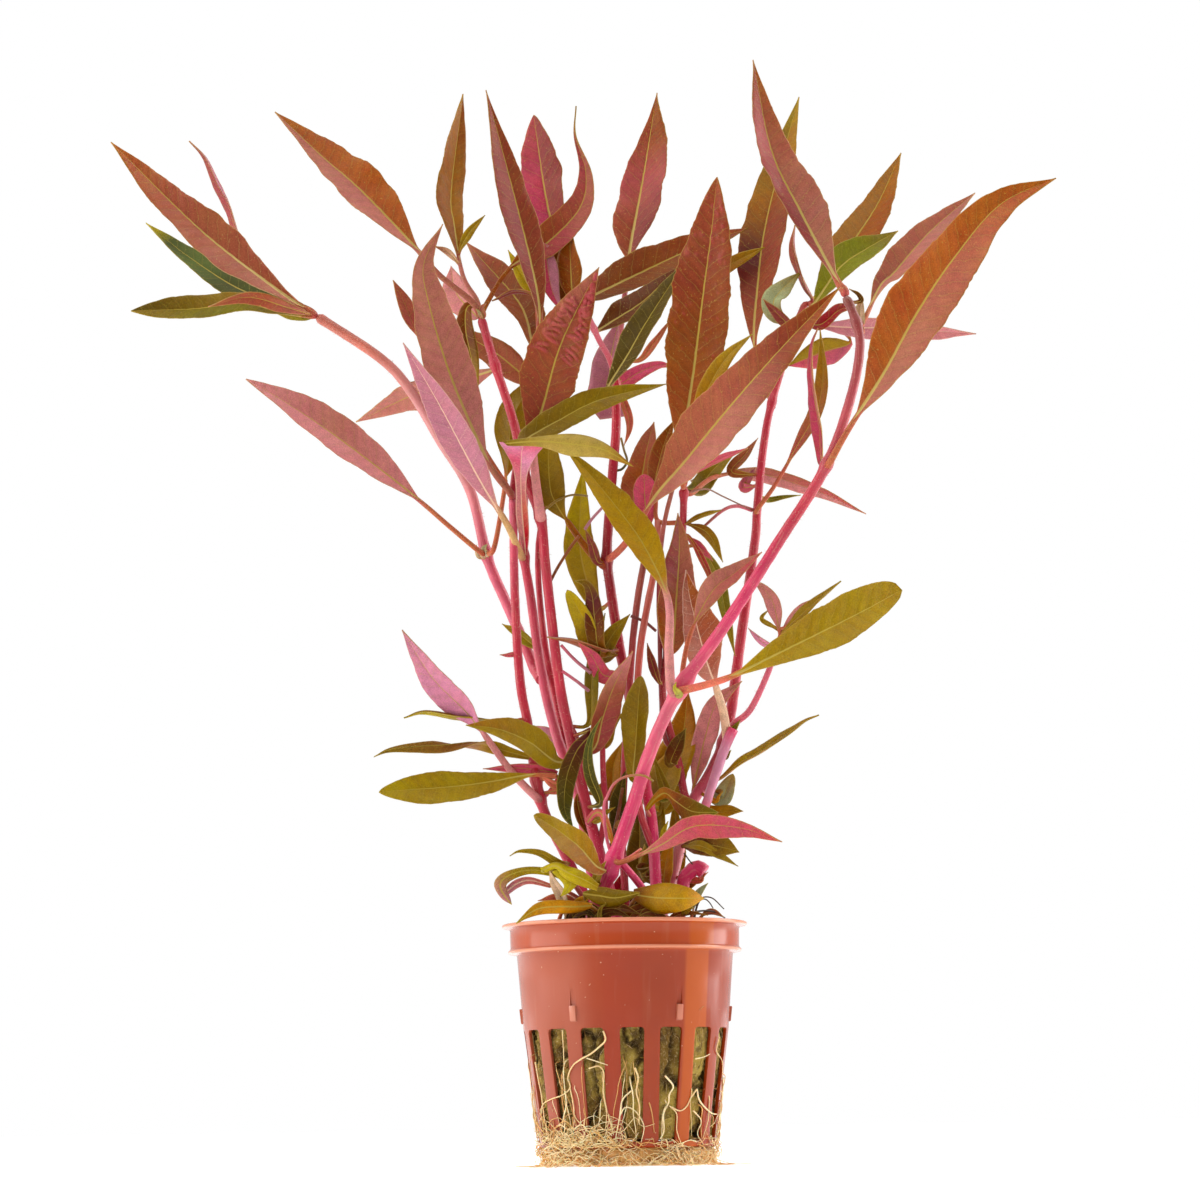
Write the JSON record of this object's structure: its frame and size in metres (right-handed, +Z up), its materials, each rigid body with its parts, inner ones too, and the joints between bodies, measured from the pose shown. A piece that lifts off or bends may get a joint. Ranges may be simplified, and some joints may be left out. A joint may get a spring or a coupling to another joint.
{
  "type": "potted aquarium plant",
  "caption": "Pink and bronze-leaved aquarium stem plant growing in rock wool in a slotted terracotta-coloured net pot, with a mat of roots under it.",
  "frame": {"origin": "on the axis of the pot, on the surface that the pot stands on", "axes": "+Z up along the pot's axis, +X to the right and +Y to the back as seen in the picture"},
  "size_m": [0.2064, 0.1042, 0.2531],
  "materials": {
    "pot_plastic": "semi-gloss moulded plastic, terracotta colour",
    "rock_wool": "matt fibrous clumps, olive khaki",
    "roots": "matt fine cream-tan threads",
    "stem_crimson": "satin, fine pale fuzz",
    "stem_pink": "satin, fine pale fuzz",
    "leaf_bronze": "satin, orange-brown with an olive midrib",
    "leaf_rose": "satin, pink-brown with a yellow-olive midrib",
    "leaf_lilac": "satin, lilac pink with a cream midrib",
    "leaf_olive": "satin, yellow-olive",
    "leaf_green": "satin, dark green"
  },
  "bodies": {
    "root": {"net_pot": "pot_plastic", "rock_wool": "rock_wool", "root_mat": "roots", "stem_left_outer": "stem_pink", "stem_left_low": "stem_crimson", "stem_left_middle": "stem_crimson", "stem_left_front": "stem_crimson", "stem_centre": "stem_crimson", "stem_centre_left_branch": "stem_crimson", "stem_centre_right_branch": "stem_crimson", "stem_right_trunk": "stem_pink", "stem_right_back": "stem_crimson", "stem_right_middle": "stem_crimson", "stem_right_front": "stem_pink", "stem_right_side_branch": "stem_pink", "leaf_far_left_long": "leaf_bronze", "leaf_far_left_green": "leaf_green", "leaf_far_left_low": "leaf_olive", "leaf_left_lilac_long": "leaf_rose", "leaf_left_top": "leaf_bronze", "leaf_left_behind": "leaf_lilac", "leaf_left_front_long": "leaf_rose", "leaf_left_front_pink": "leaf_lilac", "leaf_top_left_narrow": "leaf_bronze", "leaf_top_left_low": "leaf_rose", "leaf_top_left_tall": "leaf_rose", "leaf_top_pink_back": "leaf_lilac", "leaf_top_twisted": "leaf_olive", "leaf_centre_blistered": "leaf_rose", "leaf_top_centre": "leaf_rose", "leaf_centre_back_upper": "leaf_bronze", "leaf_centre_back_lower": "leaf_bronze", "leaf_centre_green": "leaf_green", "leaf_centre_olive": "leaf_olive", "leaf_centre_big": "leaf_bronze", "leaf_right_back_tall": "leaf_bronze", "leaf_right_top": "leaf_rose", "leaf_right_back_bronze": "leaf_bronze", "leaf_right_green": "leaf_green", "leaf_right_upper_narrow": "leaf_rose", "leaf_right_long": "leaf_bronze", "leaf_right_pink_level": "leaf_lilac", "leaf_right_front_big": "leaf_rose", "leaf_centre_yellow": "leaf_olive", "leaf_centre_bent": "leaf_olive", "leaf_left_yellow_back": "leaf_olive", "leaf_centre_brown_small": "leaf_rose", "leaf_middle_maroon": "leaf_rose", "leaf_middle_brown": "leaf_rose", "leaf_middle_pink": "leaf_lilac", "leaf_middle_green": "leaf_green", "leaf_right_narrow_level": "leaf_rose", "leaf_middle_right_small": "leaf_rose", "leaf_right_olive": "leaf_olive", "leaf_low_left_pink": "leaf_lilac", "leaf_low_left_brown": "leaf_olive", "leaf_low_left_olive": "leaf_olive", "leaf_base_left_olive": "leaf_olive", "leaf_base_right_pink": "leaf_lilac", "leaf_base_right_orange": "leaf_olive"}
  },
  "joints": []
}
